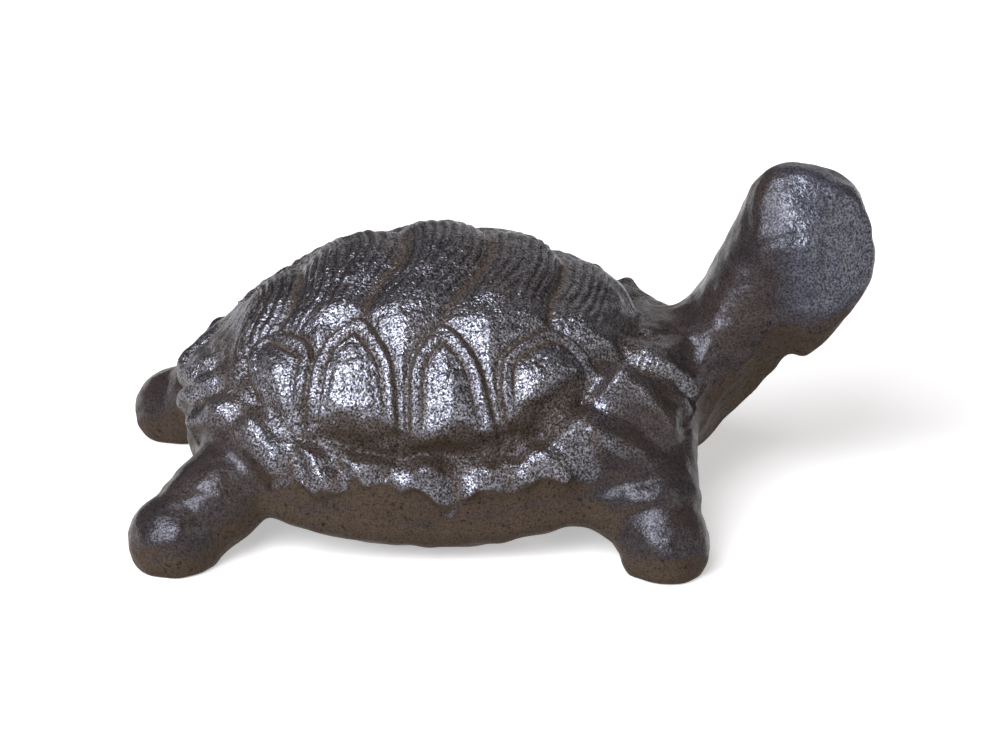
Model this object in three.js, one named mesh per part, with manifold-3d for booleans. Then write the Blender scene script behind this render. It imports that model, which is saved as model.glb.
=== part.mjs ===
// A standing tortoise in sand-cast iron: a hollow figure of seven castings, held by screws from inside.
// Millimetres. +X points to the head, +Y to the tortoise's left, +Z up, soles on Z = 0.
import * as THREE from "three";
import Module from "manifold-3d";
import { mergeVertices } from "three/addons/utils/BufferGeometryUtils.js";

const wasm = await Module();
wasm.setup();

// Shell: the plan is a rounded oblong, the rim rises towards the neck and a little towards the tail end
const shellLength = 125.5;
const shellWidth = 91;
const crownHeight = 65.5;
const rimHeight = 15.5;
const frontRimLift = 18.5;
const rearRimLift = 9;
const planSquareness = 2.8;
const sideSteepness = 0.5;
const frontSteepness = 0.3;
const rearSteepness = 0.2;
const frontRimCurve = 3;
const rearRimCurve = 4;
const rimCurl = 4;
const shellWall = 4.5;

// Scutes, the plates of the shell, drawn on the unrolled shell: forward of the crown and out from the spine.
// A costal's outline runs from its rear foot over its peak to its front foot.
const costalOutlines = [
  [[-55.5, 38], [-56.5, 28], [-52.5, 19.5], [-46, 18], [-38, 25], [-35.5, 31], [-39, 38.5], [-44.5, 47.5]],
  [[-43.5, 47.5], [-39, 38.5], [-33, 30], [-22, 25.5], [-18, 31], [-15, 38], [-15.5, 47], [-17.5, 58]],
  [[-14.5, 59.5], [-11.5, 47], [-9.5, 37.5], [-1.5, 30], [4, 34], [8.5, 41], [11.5, 50.5], [15, 59]],
  [[17.5, 58], [13, 46.5], [13, 37.5], [19, 32], [26, 27.5], [33, 28.5], [41, 33.5], [42, 38.5], [31, 50]],
];
const vertebralSeams = [
  [[-37, 0], [-41.5, 9], [-46, 18]],
  [[-12.5, 0], [-17, 9], [-20.5, 17], [-22, 25.5]],
  [[9, 0], [4.5, 9], [1.5, 19], [-1.5, 30]],
  [[30, 0], [25.5, 9], [23.5, 18], [26, 27.5]],
];
// The waist is the valley between costals and marginals: bearing from the head, drop from the crown, degrees
const waist = [
  [0, 50], [30, 49], [47, 51], [66, 64.5], [80, 75], [100, 75], [118, 70], [137, 63], [165, 57], [180, 56],
];
const waistDepth = 1.8;
const waistWidth = 5;
const marginalSeams = [14, 30, 47, 63, 75, 87, 105, 124, 140, 152, 166];
// Height of the skin over the plain dome: in from a costal's seam, and down from the waist
const costalProfile = [[0, -1.4], [2.5, -0.2], [4, -0.3], [6, 0.2], [9, 1.2], [14, 1.6]];
const marginalProfile = [[0, -0.6], [4, 0.9], [9, 1.4], [16, 1]];
const waistLevel = -0.6;
const waistReach = 8;
const marginalReach = 6;
const marginalSink = 1.4;
const marginalEdge = 5;
const spineSwell = 1.5;
const spineReach = 8;
const spineRidge = 2.6;
const spineRidgeWidth = 18;
const spineRidgeEnds = [35, 55];
const seamDepth = 0.8;
const seamWidth = 2;
const girthRadius = 47;

// Belly casting, a bowl that closes the shell from below and curves up towards the legs
const bellyHeight = 0.4;
const bellyRocker = 7;
const bellyRockerReach = 50;
const shellOverhang = 1.4;
const bellyWall = 5.5;
const bellySquareness = 4;

// Legs: root points count from the shell's ends and sides
const footRadius = 10.9;
const frontKneeRadius = 12.4;
const rearKneeRadius = 11.8;
const ankleRadius = 10.5;
const frontRootRadius = 13.5;
const rearRootRadius = 11;
const footHeight = 5;
const frontFootSpread = 2.5;
const rearFootSpread = 9;
const frontFootSetback = 13;
const rearFootSetback = -1;
const frontLegAngle = 44;
const rearLegAngle = 141;
const kneeShare = 0.45;
const legRootRise = 3;
const legStations = [0, 0.3, 0.6, 0.82];

// Neck and head: ribs from the shell to the snout. Each has its top and its bottom point in the side outline,
// forward from the shell's front end and up from the soles, its width and how square it is.
const neckRibs = [
  { top: [-14, 43], bottom: [-14, 16], width: 30, squareness: 2.2 },
  { top: [-3.5, 48.5], bottom: [-2, 13.5], width: 30, squareness: 2.2 },
  { top: [3, 60], bottom: [5.5, 20.5], width: 26, squareness: 2.2 },
  { top: [8.5, 70.5], bottom: [14.5, 30.5], width: 25.5, squareness: 2.2 },
  { top: [12, 77.2], bottom: [20, 37.5], width: 27, squareness: 2.3 },
  { top: [16.5, 81.8], bottom: [24.5, 37.8], width: 29, squareness: 2.4 },
  { top: [22.5, 83.2], bottom: [29.8, 42], width: 30, squareness: 2.5 },
  { top: [29, 81.2], bottom: [34.5, 48.7], width: 28, squareness: 2.5 },
  { top: [34.5, 77], bottom: [38.2, 54.5], width: 25, squareness: 2.4 },
  { top: [38, 71.5], bottom: [39.6, 60], width: 20, squareness: 2.3 },
];
const snoutTip = [40, 66];
// Flats on both sides of the head: a place forward, out and up, and the way the flat faces there
const headFlats = [
  { at: [27, 14.2, 66], facing: [0.55, 0.78, 0.3] },
  { at: [25, 0, 81.6], facing: [0.42, 0.1, 0.9] },
];

// Fasteners
const clearance = 0.3;
const tenonRadius = 3.8;
const tenonPadRadius = 6.5;
const tenonPadHeight = 2.5;
const tenonShort = 0.8;
const tenonDrop = 5;
const neckTenonRadius = 7;
const neckTenonPadRadius = 10;
const neckTenonDrop = 12;
const screwRadius = 2;
const screwHeadRadius = 3.6;
const screwHeadHeight = 2.6;
const screwSlotWidth = 1;
const screwSlotDepth = 1.1;
const legScrewGrip = 11;
const neckScrewGrip = 16;
const washerRadius = 4.6;
const washerThickness = 1.2;
const bellyScrewInsetX = 41.75;
const bellyScrewInsetY = 17.5;
const bellyScrewRecess = 4.2;
const bellyScrewLength = 22;
const pillarRadius = 4.5;

// Facets
const shellSegments = 132;
const shellRows = 30;
const bowlSegments = 48;
const bowlRows = 7;
const limbSegments = 22;
const neckSegments = 28;
const roundSegments = 16;
const capRows = 4;
const seamPieces = 4;
const ringCrowding = 0.7;

const halfLength = shellLength / 2;
const halfWidth = shellWidth / 2;
const shellRise = crownHeight - rimHeight;
const screwHoleRadius = screwRadius + clearance;
const spare = 20;
const overcut = 1;
const ironColour = 0x4f4845;
const steelColour = 0x8d8f92;

const iron = new THREE.MeshStandardMaterial({ color: ironColour, roughness: 0.5, metalness: 0.6 });
const steel = new THREE.MeshStandardMaterial({ color: steelColour, roughness: 0.35, metalness: 1 });

function radians(degrees) {
  return (degrees * Math.PI) / 180;
}

function smooth(value) {
  const t = THREE.MathUtils.clamp(value, 0, 1);
  return t * t * (3 - 2 * t);
}

// A closed skin through rings of equal point counts, from one pole to the other.
function loft(firstPole, rings, lastPole) {
  const count = rings[0].length;
  const points = [firstPole, ...rings.flat(), lastPole];
  const last = points.length - 1;
  const at = (row, step) => 1 + row * count + (step % count);
  const faces = [];
  for (let step = 0; step < count; step += 1) {
    faces.push(0, at(0, step), at(0, step + 1));
    for (let row = 0; row + 1 < rings.length; row += 1) {
      faces.push(at(row, step), at(row + 1, step), at(row + 1, step + 1));
      faces.push(at(row, step), at(row + 1, step + 1), at(row, step + 1));
    }
    faces.push(last, at(rings.length - 1, step + 1), at(rings.length - 1, step));
  }
  const geometry = new THREE.BufferGeometry().setFromPoints(points);
  geometry.setIndex(faces);
  return geometry;
}

function signedVolume(positions, faces) {
  const [a, b, c] = [new THREE.Vector3(), new THREE.Vector3(), new THREE.Vector3()];
  let volume = 0;
  for (let i = 0; i < faces.length; i += 3) {
    a.fromArray(positions, 3 * faces[i]);
    b.fromArray(positions, 3 * faces[i + 1]);
    c.fromArray(positions, 3 * faces[i + 2]);
    volume += a.dot(b.cross(c)) / 6;
  }
  return volume;
}

// A closed three.js geometry as a solid that can be joined and cut, with its faces turned out.
function solid(geometry) {
  const bare = new THREE.BufferGeometry();
  bare.setAttribute("position", geometry.getAttribute("position").clone());
  bare.setIndex(geometry.getIndex());
  const merged = mergeVertices(bare);
  const vertProperties = new Float32Array(merged.getAttribute("position").array);
  const triVerts = new Uint32Array(merged.getIndex().array);
  if (signedVolume(vertProperties, triVerts) < 0) {
    triVerts.reverse();
  }
  return new wasm.Manifold(new wasm.Mesh({ numProp: 3, vertProperties, triVerts }));
}

function geometryOf(body) {
  const mesh = body.getMesh();
  const geometry = new THREE.BufferGeometry();
  geometry.setAttribute("position", new THREE.Float32BufferAttribute(mesh.vertProperties, 3));
  geometry.setIndex(Array.from(mesh.triVerts));
  geometry.computeVertexNormals();
  return geometry;
}

// What is left of a trimmed casting once the thin flash in the shell's seams is broken off.
function largestPiece(body) {
  return body.decompose().reduce((most, piece) => (piece.volume() > most.volume() ? piece : most));
}

// A straight round bar between two points.
function bar(from, to, radius) {
  const along = new THREE.Vector3().subVectors(to, from);
  const geometry = new THREE.CylinderGeometry(radius, radius, along.length(), roundSegments);
  const upright = new THREE.Vector3(0, 1, 0);
  geometry.applyQuaternion(new THREE.Quaternion().setFromUnitVectors(upright, along.clone().normalize()));
  geometry.translate(from.x + along.x / 2, from.y + along.y / 2, from.z + along.z / 2);
  return solid(geometry);
}

// Point of the shell's plan outline in the direction of an angle, as shares of half length and half width.
function planPoint(angle) {
  const [x, y] = [Math.cos(angle), Math.sin(angle)];
  const size = (Math.abs(x) ** planSquareness + Math.abs(y) ** planSquareness) ** (1 / planSquareness);
  return { u: x / size, v: y / size };
}

function rimLift(u) {
  return u > 0 ? frontRimLift * u ** frontRimCurve : rearRimLift * u ** rearRimCurve;
}

// The second value of a table of pairs at a place between its first values.
function along(table, place) {
  const next = table.findIndex(([at]) => at > place);
  if (next <= 0) {
    return next === 0 ? table[0][1] : table[table.length - 1][1];
  }
  const [[from, low], [to, high]] = [table[next - 1], table[next]];
  return THREE.MathUtils.mapLinear(place, from, to, low, high);
}

function curveThrough(knots) {
  const curve = new THREE.SplineCurve(knots.map(([x, y]) => new THREE.Vector2(x, y)));
  return curve.getPoints(seamPieces * (knots.length - 1));
}

const costalCurves = costalOutlines.map(curveThrough);
const vertebralCurves = vertebralSeams.map(curveThrough);

function distanceToCurve(spot, curve) {
  let nearest = Infinity;
  for (let i = 0; i + 1 < curve.length; i += 1) {
    const step = new THREE.Vector2().subVectors(curve[i + 1], curve[i]);
    const offset = new THREE.Vector2().subVectors(spot, curve[i]);
    const share = THREE.MathUtils.clamp(offset.dot(step) / step.lengthSq(), 0, 1);
    nearest = Math.min(nearest, offset.addScaledVector(step, -share).length());
  }
  return nearest;
}

function within(spot, outline) {
  let inside = false;
  outline.forEach((a, i) => {
    const b = outline[(i + 1) % outline.length];
    const spans = a.y > spot.y !== b.y > spot.y;
    if (spans && spot.x < THREE.MathUtils.mapLinear(spot.y, a.y, b.y, a.x, b.x)) {
      inside = !inside;
    }
  });
  return inside;
}

// How far a marginal stands out, by its bearing from the head and the way down from the waist.
function marginalRelief(u, v, belowWaist) {
  const bearing = THREE.MathUtils.radToDeg(Math.atan2(Math.abs(v), u));
  const offSeam = radians(Math.min(...marginalSeams.map((seam) => Math.abs(bearing - seam))));
  const toSeam = offSeam * Math.hypot(halfLength * v, halfWidth * u);
  const sink = marginalSink * (1 - smooth(toSeam / marginalReach)) * smooth(belowWaist / marginalReach);
  return along(marginalProfile, belowWaist) - sink;
}

function vertebralRelief(spot, drop, toCostal, toWaist) {
  const toSeam = Math.min(toCostal, ...vertebralCurves.map((curve) => distanceToCurve(spot, curve)));
  const swell = spineSwell * (smooth(Math.min(toSeam, toWaist) / spineReach) - 0.5);
  const groove = seamDepth * Math.exp(-((toSeam / seamWidth) ** 2));
  const [ridgeFade, ridgeEnd] = spineRidgeEnds.map(radians);
  const ridge = spineRidge * (1 - smooth(spot.y / spineRidgeWidth));
  return swell - groove + ridge * (1 - smooth((drop - ridgeFade) / (ridgeEnd - ridgeFade)));
}

// How far the skin stands over the plain dome, at a share of the way down to a point of the plan outline.
function scuteRelief(u, v, share) {
  const drop = Math.asin(Math.min(share, 1));
  const spot = new THREE.Vector2(halfLength * u * drop, halfWidth * Math.abs(v) * drop);
  const bearing = THREE.MathUtils.radToDeg(Math.atan2(Math.abs(v), u));
  const belowWaist = (drop - radians(along(waist, bearing))) * girthRadius;
  const valley = waistDepth * Math.exp(-((belowWaist / waistWidth) ** 2));
  if (belowWaist > 0) {
    return marginalRelief(u, v, belowWaist) - valley;
  }
  const toCostal = Math.min(...costalCurves.map((curve) => distanceToCurve(spot, curve)));
  if (costalCurves.some((curve) => within(spot, curve))) {
    const awayFromWaist = smooth(-belowWaist / waistReach);
    return THREE.MathUtils.lerp(waistLevel, along(costalProfile, toCostal), awayFromWaist) - valley;
  }
  return vertebralRelief(spot, drop, toCostal, -belowWaist) - valley;
}

// One point of the dome: share runs from 0 at the crown to 1 at the rim, inset shrinks the dome evenly.
function domePoint(angle, share, inset, relief) {
  const { u, v } = planPoint(angle);
  const [long, wide, rise] = [halfLength - inset, halfWidth - inset, shellRise - inset];
  const steepness = sideSteepness + (u > 0 ? frontSteepness : rearSteepness) * u * u;
  const aboveRim = rise * Math.max(1 - share * share, 0) ** steepness;
  const point = new THREE.Vector3(long * share * u, wide * share * v, rimHeight + aboveRim);
  if (relief) {
    const out = new THREE.Vector3(point.x / long ** 2, point.y / wide ** 2, aboveRim / rise ** 2);
    point.addScaledVector(out.normalize(), scuteRelief(u, v, share) * smooth(aboveRim / marginalEdge));
  }
  point.z += rimLift(u) * share ** rimCurl;
  return point;
}

// The dome as one solid, its underside lowered by a drop below the rim.
function domeSolid(inset, drop, relief, segments, rows) {
  const angles = Array.from({ length: segments }, (_, i) => (2 * Math.PI * i) / segments);
  const rings = [];
  for (let row = 1; row <= rows; row += 1) {
    const share = Math.sin((Math.PI / 2) * (row / rows));
    rings.push(angles.map((angle) => domePoint(angle, share, inset, relief)));
  }
  const rim = rings[rings.length - 1];
  const under = rim.map(({ x, y }, i) => {
    const { u } = planPoint(angles[i]);
    return new THREE.Vector3(x, y, rimHeight + rimLift(u) - drop);
  });
  rings.push(under);
  rings.push(under.map((p) => new THREE.Vector3(p.x / 2, p.y / 2, p.z)));
  const crown = domePoint(0, 0, inset, relief);
  return solid(loft(crown, rings, new THREE.Vector3(0, 0, rimHeight - drop)));
}

// Height of the belly's underside, by the way forward or back from its middle.
function bellyFloor(x) {
  const share = Math.min(Math.abs(x) / bellyRockerReach, 1);
  return bellyHeight + bellyRocker * (1 - Math.cos(Math.PI * share)) / 2;
}

// The belly bowl as one solid, up to a lift above the shell's rim.
function bowlSolid(inset, lift) {
  const angles = Array.from({ length: bowlSegments }, (_, i) => (2 * Math.PI * i) / bowlSegments);
  const thickness = inset - shellOverhang;
  const [long, wide] = [halfLength - inset, halfWidth - inset];
  const rings = [];
  for (let row = 1; row <= bowlRows; row += 1) {
    const share = Math.sin((Math.PI / 2) * (row / bowlRows)) ** ringCrowding;
    const depth = Math.max(1 - share ** bellySquareness, 0) ** (1 / bellySquareness);
    rings.push(angles.map((angle) => {
      const { u, v } = planPoint(angle);
      const top = rimHeight + rimLift(u) - clearance;
      const floor = bellyFloor(long * share * u) + thickness;
      return new THREE.Vector3(long * share * u, wide * share * v, top - (top - floor) * depth);
    }));
  }
  const rim = rings[rings.length - 1];
  rings.push(rim.map((p) => new THREE.Vector3(p.x, p.y, p.z + lift)));
  rings.push(rim.map((p) => new THREE.Vector3(p.x / 2, p.y / 2, p.z + lift)));
  const lowest = new THREE.Vector3(0, 0, bellyFloor(0) + thickness);
  return solid(loft(lowest, rings, new THREE.Vector3(0, 0, rimHeight + lift)));
}

function box(size, centre) {
  const geometry = new THREE.BoxGeometry(size.x, size.y, size.z);
  geometry.translate(centre.x, centre.y, centre.z);
  return solid(geometry);
}

function ground() {
  const reach = 4 * shellLength;
  return box(new THREE.Vector3(reach, reach, spare), new THREE.Vector3(0, 0, -spare / 2));
}

// Where a leg meets the belly wall, and the way out of the wall there.
function legRoot(end, side) {
  const angle = radians(end === "front" ? frontLegAngle : rearLegAngle) * side;
  const { u, v } = planPoint(angle);
  const [long, wide] = [halfLength - shellOverhang, halfWidth - shellOverhang];
  const power = planSquareness - 1;
  const outX = (Math.sign(u) * Math.abs(u) ** power) / long;
  const outY = (Math.sign(v) * Math.abs(v) ** power) / wide;
  return {
    wall: new THREE.Vector3(long * u, wide * v, rimHeight + rimLift(u) - tenonDrop),
    out: new THREE.Vector3(outX, outY, 0).normalize(),
  };
}

// A round limb through centres and radii, up to the point of its rounded end.
function limbSolid(stations, tip) {
  const rings = stations.map(({ centre, radius, along }) => {
    const turn = new THREE.Quaternion().setFromUnitVectors(new THREE.Vector3(0, 0, -1), along);
    return Array.from({ length: limbSegments }, (_, i) => {
      const angle = (2 * Math.PI * i) / limbSegments;
      const spoke = new THREE.Vector3(Math.cos(angle), Math.sin(angle), 0);
      return spoke.multiplyScalar(radius).applyQuaternion(turn).add(centre);
    });
  });
  return solid(loft(stations[0].centre, rings, tip));
}

// A leg runs from inside the belly wall, out and down to its foot.
function legBlank(end, side) {
  const { wall, out } = legRoot(end, side);
  const footX = end === "front" ? halfLength - frontFootSetback : rearFootSetback - halfLength;
  const spread = end === "front" ? frontFootSpread : rearFootSpread;
  const foot = new THREE.Vector3(footX, side * (halfWidth - spread), footHeight);
  wall.z += legRootRise;
  const rootRadius = end === "front" ? frontRootRadius : rearRootRadius;
  const kneeRadius = end === "front" ? frontKneeRadius : rearKneeRadius;
  const radii = [rootRadius, rootRadius, kneeRadius, ankleRadius];
  const start = wall.clone().addScaledVector(out, -rootRadius);
  const path = new THREE.CatmullRomCurve3([start, wall.clone().lerp(foot, kneeShare), foot]);
  const stations = legStations.map((t, i) => ({
    centre: path.getPoint(t),
    radius: radii[i],
    along: path.getTangent(t),
  }));
  const heel = path.getTangent(1);
  for (let row = 0; row < capRows; row += 1) {
    const bend = (Math.PI / 2) * (row / capRows);
    stations.push({
      centre: foot.clone().addScaledVector(heel, footRadius * Math.sin(bend)),
      radius: footRadius * Math.cos(bend),
      along: heel,
    });
  }
  return limbSolid(stations, foot.clone().addScaledVector(heel, footRadius));
}

// The tenon, its pad inside the wall and its screw share one axis: places along it count out from the wall.
function tenonJoint(root, padRadius, radius) {
  const place = (distance) => root.wall.clone().addScaledVector(root.out, distance);
  const padFace = -(bellyWall + tenonPadHeight);
  const washerFace = padFace - clearance;
  const headFace = washerFace - washerThickness - clearance;
  return {
    place,
    washerFace,
    headFace,
    pad: bar(place(padFace), place(-bellyWall / 2), padRadius),
    bore: bar(place(padFace - spare), place(spare), radius + clearance),
    spotFace: bar(place(headFace - screwHeadHeight - overcut), place(padFace), washerRadius + clearance),
    tenon: bar(place(padFace + tenonShort), place(tenonPadHeight + clearance), radius),
    screwHole: (grip) => bar(place(padFace - spare), place(headFace + grip + overcut), screwHoleRadius),
  };
}

function screwBody(place, headFace, length) {
  const slotAt = place(headFace - screwHeadHeight);
  const along = new THREE.Vector3().subVectors(place(0), slotAt).normalize();
  const slot = new THREE.BoxGeometry(2 * screwHeadRadius + overcut, 2 * screwSlotDepth, screwSlotWidth);
  slot.applyQuaternion(new THREE.Quaternion().setFromUnitVectors(new THREE.Vector3(0, 1, 0), along));
  slot.translate(slotAt.x, slotAt.y, slotAt.z);
  const head = bar(slotAt, place(headFace), screwHeadRadius);
  const shank = bar(place(headFace - screwHeadHeight / 2), place(headFace + length), screwRadius);
  return head.add(shank).subtract(solid(slot));
}

function washerBody(place, face) {
  const disc = bar(place(face), place(face - washerThickness), washerRadius);
  return disc.subtract(bar(place(face + overcut), place(face - washerThickness - overcut), screwHoleRadius));
}

// A point of the side outline of the neck and head, in the shell's own frame.
function outlinePoint([forward, height]) {
  return new THREE.Vector3(halfLength + forward, 0, height);
}

// The head with its flats cut, on the right side and on the left.
function flattened(head) {
  let cut = head;
  for (const { at: [forward, out, up], facing: [x, y, z] } of headFlats) {
    for (const side of [-1, 1]) {
      const inward = new THREE.Vector3(-x, -side * y, -z).normalize();
      const place = new THREE.Vector3(halfLength + forward, side * out, up);
      cut = cut.trimByPlane(inward.toArray(), inward.dot(place));
    }
  }
  return cut;
}

function neckBlank() {
  const rings = neckRibs.map((rib) => {
    const [top, bottom] = [outlinePoint(rib.top), outlinePoint(rib.bottom)];
    const centre = top.clone().lerp(bottom, 0.5);
    const up = top.sub(centre);
    const squared = (value) => Math.sign(value) * Math.abs(value) ** (2 / rib.squareness);
    return Array.from({ length: neckSegments }, (_, i) => {
      const angle = (2 * Math.PI * i) / neckSegments;
      const point = centre.clone().addScaledVector(up, squared(Math.cos(angle)));
      point.y += (rib.width / 2) * squared(Math.sin(angle));
      return point;
    });
  });
  const [root] = neckRibs;
  const start = outlinePoint(root.top).lerp(outlinePoint(root.bottom), 0.5);
  return flattened(solid(loft(start, rings, outlinePoint(snoutTip))));
}

const corners = [
  { name: "front_right", end: "front", side: -1 },
  { name: "front_left", end: "front", side: 1 },
  { name: "rear_right", end: "rear", side: -1 },
  { name: "rear_left", end: "rear", side: 1 },
];

// Belly screws stand in pillars: the belly's below the joint, the shell's above it.
function bellyScrew(end, side) {
  const x = (end === "front" ? 1 : -1) * (halfLength - bellyScrewInsetX);
  const y = side * (halfWidth - bellyScrewInsetY);
  const place = (z) => new THREE.Vector3(x, y, z);
  const floor = bellyFloor(x);
  const seat = floor + bellyScrewRecess;
  const joint = rimHeight - clearance;
  return {
    place,
    seat,
    belowJoint: bar(place(floor + bellyWall / 2), place(joint), pillarRadius),
    aboveJoint: bar(place(rimHeight), place(crownHeight), pillarRadius),
    recess: bar(place(floor - spare), place(seat), screwHeadRadius + clearance),
    hole: bar(place(floor - spare), place(seat + bellyScrewLength + overcut), screwHoleRadius),
  };
}

const group = new THREE.Group();

function addPiece(name, body, material) {
  const mesh = new THREE.Mesh(geometryOf(body), material);
  mesh.name = name;
  group.add(mesh);
}

const shellBlank = domeSolid(0, 0, true, shellSegments, shellRows);
const shellSpace = domeSolid(-clearance, clearance, true, shellSegments, shellRows);
const shellHollow = domeSolid(shellWall, spare, false, bowlSegments, bowlRows);
const bellyBlank = bowlSolid(shellOverhang, 0);
const bellySpace = bowlSolid(shellOverhang - clearance, clearance);
const bellyHollow = bowlSolid(shellOverhang + bellyWall, spare);

let carapace = shellBlank.subtract(shellHollow);
let underbody = bellyBlank.subtract(bellyHollow);

for (const { name, end, side } of corners) {
  const screw = bellyScrew(end, side);
  carapace = carapace.add(screw.aboveJoint.intersect(shellBlank)).subtract(screw.hole);
  underbody = underbody.add(screw.belowJoint).subtract(screw.recess).subtract(screw.hole);
  addPiece(`belly_screw_${name}`, screwBody(screw.place, screw.seat, bellyScrewLength), steel);
}

for (const { name, end, side } of corners) {
  const joint = tenonJoint(legRoot(end, side), tenonPadRadius, tenonRadius);
  underbody = underbody.add(joint.pad.intersect(bellyBlank)).subtract(joint.bore).subtract(joint.spotFace);
  const trimmed = legBlank(end, side).subtract(ground()).subtract(bellySpace).subtract(shellSpace);
  const leg = largestPiece(trimmed).add(joint.tenon).subtract(joint.screwHole(legScrewGrip));
  addPiece(`${name}_leg`, leg, iron);
  addPiece(`leg_washer_${name}`, washerBody(joint.place, joint.washerFace), steel);
  addPiece(`leg_screw_${name}`, screwBody(joint.place, joint.headFace, legScrewGrip), steel);
}

const neckRoot = {
  wall: new THREE.Vector3(halfLength - shellOverhang, 0, rimHeight + rimLift(1) - neckTenonDrop),
  out: new THREE.Vector3(1, 0, 0),
};
const neckJoint = tenonJoint(neckRoot, neckTenonPadRadius, neckTenonRadius);
underbody = underbody.add(neckJoint.pad.intersect(bellyBlank));
underbody = underbody.subtract(neckJoint.bore).subtract(neckJoint.spotFace);
const neck = largestPiece(neckBlank().subtract(bellySpace).subtract(shellSpace));
addPiece("head_and_neck", neck.add(neckJoint.tenon).subtract(neckJoint.screwHole(neckScrewGrip)), iron);
addPiece("neck_washer", washerBody(neckJoint.place, neckJoint.washerFace), steel);
addPiece("neck_screw", screwBody(neckJoint.place, neckJoint.headFace, neckScrewGrip), steel);

addPiece("carapace", carapace, iron);
addPiece("underbody", underbody, iron);

// The origin is the middle of the footprint, on the soles.
const footprint = new THREE.Box3().setFromObject(group);
const middle = footprint.getCenter(new THREE.Vector3());
group.position.set(-middle.x, -middle.y, 0);

export default group;
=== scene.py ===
"""A standing tortoise in dark sand-cast iron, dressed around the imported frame.

Shapes are worked out in millimetres as distance fields that melt into each other, as one casting does,
and are then turned into one closed skin per casting. +X points to the head, +Y to the tortoise's left.
"""
import math

import bpy
import numpy as np
from mathutils import Matrix, Vector


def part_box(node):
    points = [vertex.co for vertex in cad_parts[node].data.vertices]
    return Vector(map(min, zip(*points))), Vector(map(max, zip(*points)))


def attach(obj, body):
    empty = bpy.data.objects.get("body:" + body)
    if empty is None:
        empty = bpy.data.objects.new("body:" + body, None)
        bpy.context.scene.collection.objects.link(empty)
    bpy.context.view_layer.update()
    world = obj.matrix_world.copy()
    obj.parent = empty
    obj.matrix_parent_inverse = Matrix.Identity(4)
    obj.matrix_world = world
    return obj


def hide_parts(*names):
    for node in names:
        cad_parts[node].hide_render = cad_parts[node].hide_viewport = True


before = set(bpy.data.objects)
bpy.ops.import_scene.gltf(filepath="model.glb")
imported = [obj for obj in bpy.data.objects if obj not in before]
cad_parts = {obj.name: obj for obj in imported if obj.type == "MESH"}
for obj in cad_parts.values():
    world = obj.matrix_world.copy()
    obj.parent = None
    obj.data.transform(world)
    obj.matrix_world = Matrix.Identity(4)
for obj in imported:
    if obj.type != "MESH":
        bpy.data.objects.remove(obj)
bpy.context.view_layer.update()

MM = 0.001
CORNERS = ("front_right", "front_left", "rear_right", "rear_left")


def box_mm(node):
    """Lowest and highest corner of a CAD node, in millimetres."""
    low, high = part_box(node)
    return np.array(low) / MM, np.array(high) / MM


# Shell: a dome on a rounded oblong plan, whose rim rises towards the neck and the tail end. The belly
# bowl's edge follows the same plan, a little inside the shell's.
belly_low, belly_high = box_mm("underbody")
OVERHANG = 1.4
SHELL_X = (belly_low[0] + belly_high[0]) / 2
BELLY_HALF_LENGTH = (belly_high[0] - belly_low[0]) / 2
BELLY_HALF_WIDTH = (belly_high[1] - belly_low[1]) / 2
HALF_LENGTH = BELLY_HALF_LENGTH + OVERHANG
HALF_WIDTH = BELLY_HALF_WIDTH + OVERHANG
RIM = box_mm("carapace")[0][2]
CROWN = 65.5
RISE = CROWN - RIM
FRONT_RIM_LIFT = 18.5
REAR_RIM_LIFT = 9
PLAN_SQUARENESS = 2.8
SIDE_STEEPNESS = 0.5
FRONT_STEEPNESS = 0.3
REAR_STEEPNESS = 0.2
SHELL_WALL = 4.5
GIRTH_RADIUS = 47

# Scutes on the unrolled shell: forward of the crown and out from the spine, in millimetres. A costal's
# outline runs from its rear foot at the waist groove over its peak to its front foot.
COSTALS = [
    [
        (-55.5, 38), (-56.5, 28), (-52.5, 19.5), (-46, 18),
        (-38, 25), (-35.5, 31), (-39, 38.5), (-44.5, 47.5),
    ],
    [
        (-43.5, 47.5), (-39, 38.5), (-33, 30), (-27, 26.5), (-22, 25.5),
        (-18, 31), (-15, 38), (-15.5, 47), (-17.5, 58),
    ],
    [
        (-14.5, 59.5), (-11.5, 47), (-9.5, 37.5), (-5.5, 32.5), (-1.5, 30),
        (4, 34), (8.5, 41), (11.5, 50.5), (15, 59),
    ],
    [
        (17.5, 58), (13, 46.5), (13, 37.5), (19, 32), (26, 27.5),
        (33, 28.5), (41, 33.5), (42, 38.5), (31, 50),
    ],
]
# Seams between the spine plates, from the spine out to a costal's peak
VERTEBRAL_SEAMS = [
    [(-34, 0), (-36.5, 9), (-46, 18)],
    [(-9.5, 0), (-11.5, 9), (-18.5, 18), (-22, 25.5)],
    [(11, 0), (9.5, 9), (3.5, 19), (-1.5, 30)],
    [(30, 0), (28.5, 9), (25, 18), (26, 27.5)],
]
# The waist groove between costals and marginals: bearing from the head and drop from the crown, in degrees
WAIST_BEARING = [0, 30, 47, 66, 80, 100, 118, 137, 148, 165, 180]
WAIST_DROP = [50, 49, 51, 64.5, 75, 75, 70, 63, 60, 57, 56]
MARGINAL_SEAMS = [20, 39, 60, 78, 89, 104, 114, 123.5, 140, 152, 166]
# The uneven lower edge of the marginals: bearing, and how far it lies above the rim
EDGE_BEARING = [40, 55, 62, 72, 78, 85, 90.5, 96, 105, 111, 116, 123, 128.5, 137, 150]
EDGE_RISE = [0, 3.6, 3, 5.4, 2.3, 3.7, -2, 3.5, 5.6, 5.2, -0.2, 3.8, -0.2, 1, 0]
# Marginal seams lean back towards the tail and forward towards the head, in degrees, from these bearings
# on, and fully so this far below the waist
REAR_MARGINAL_SWEEP = 12
FRONT_MARGINAL_SWEEP = 10
REAR_SWEEP_FROM = 120
FRONT_SWEEP_FROM = 70
SWEEP_OVER = 40
SWEEP_DOWN = 25
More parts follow.
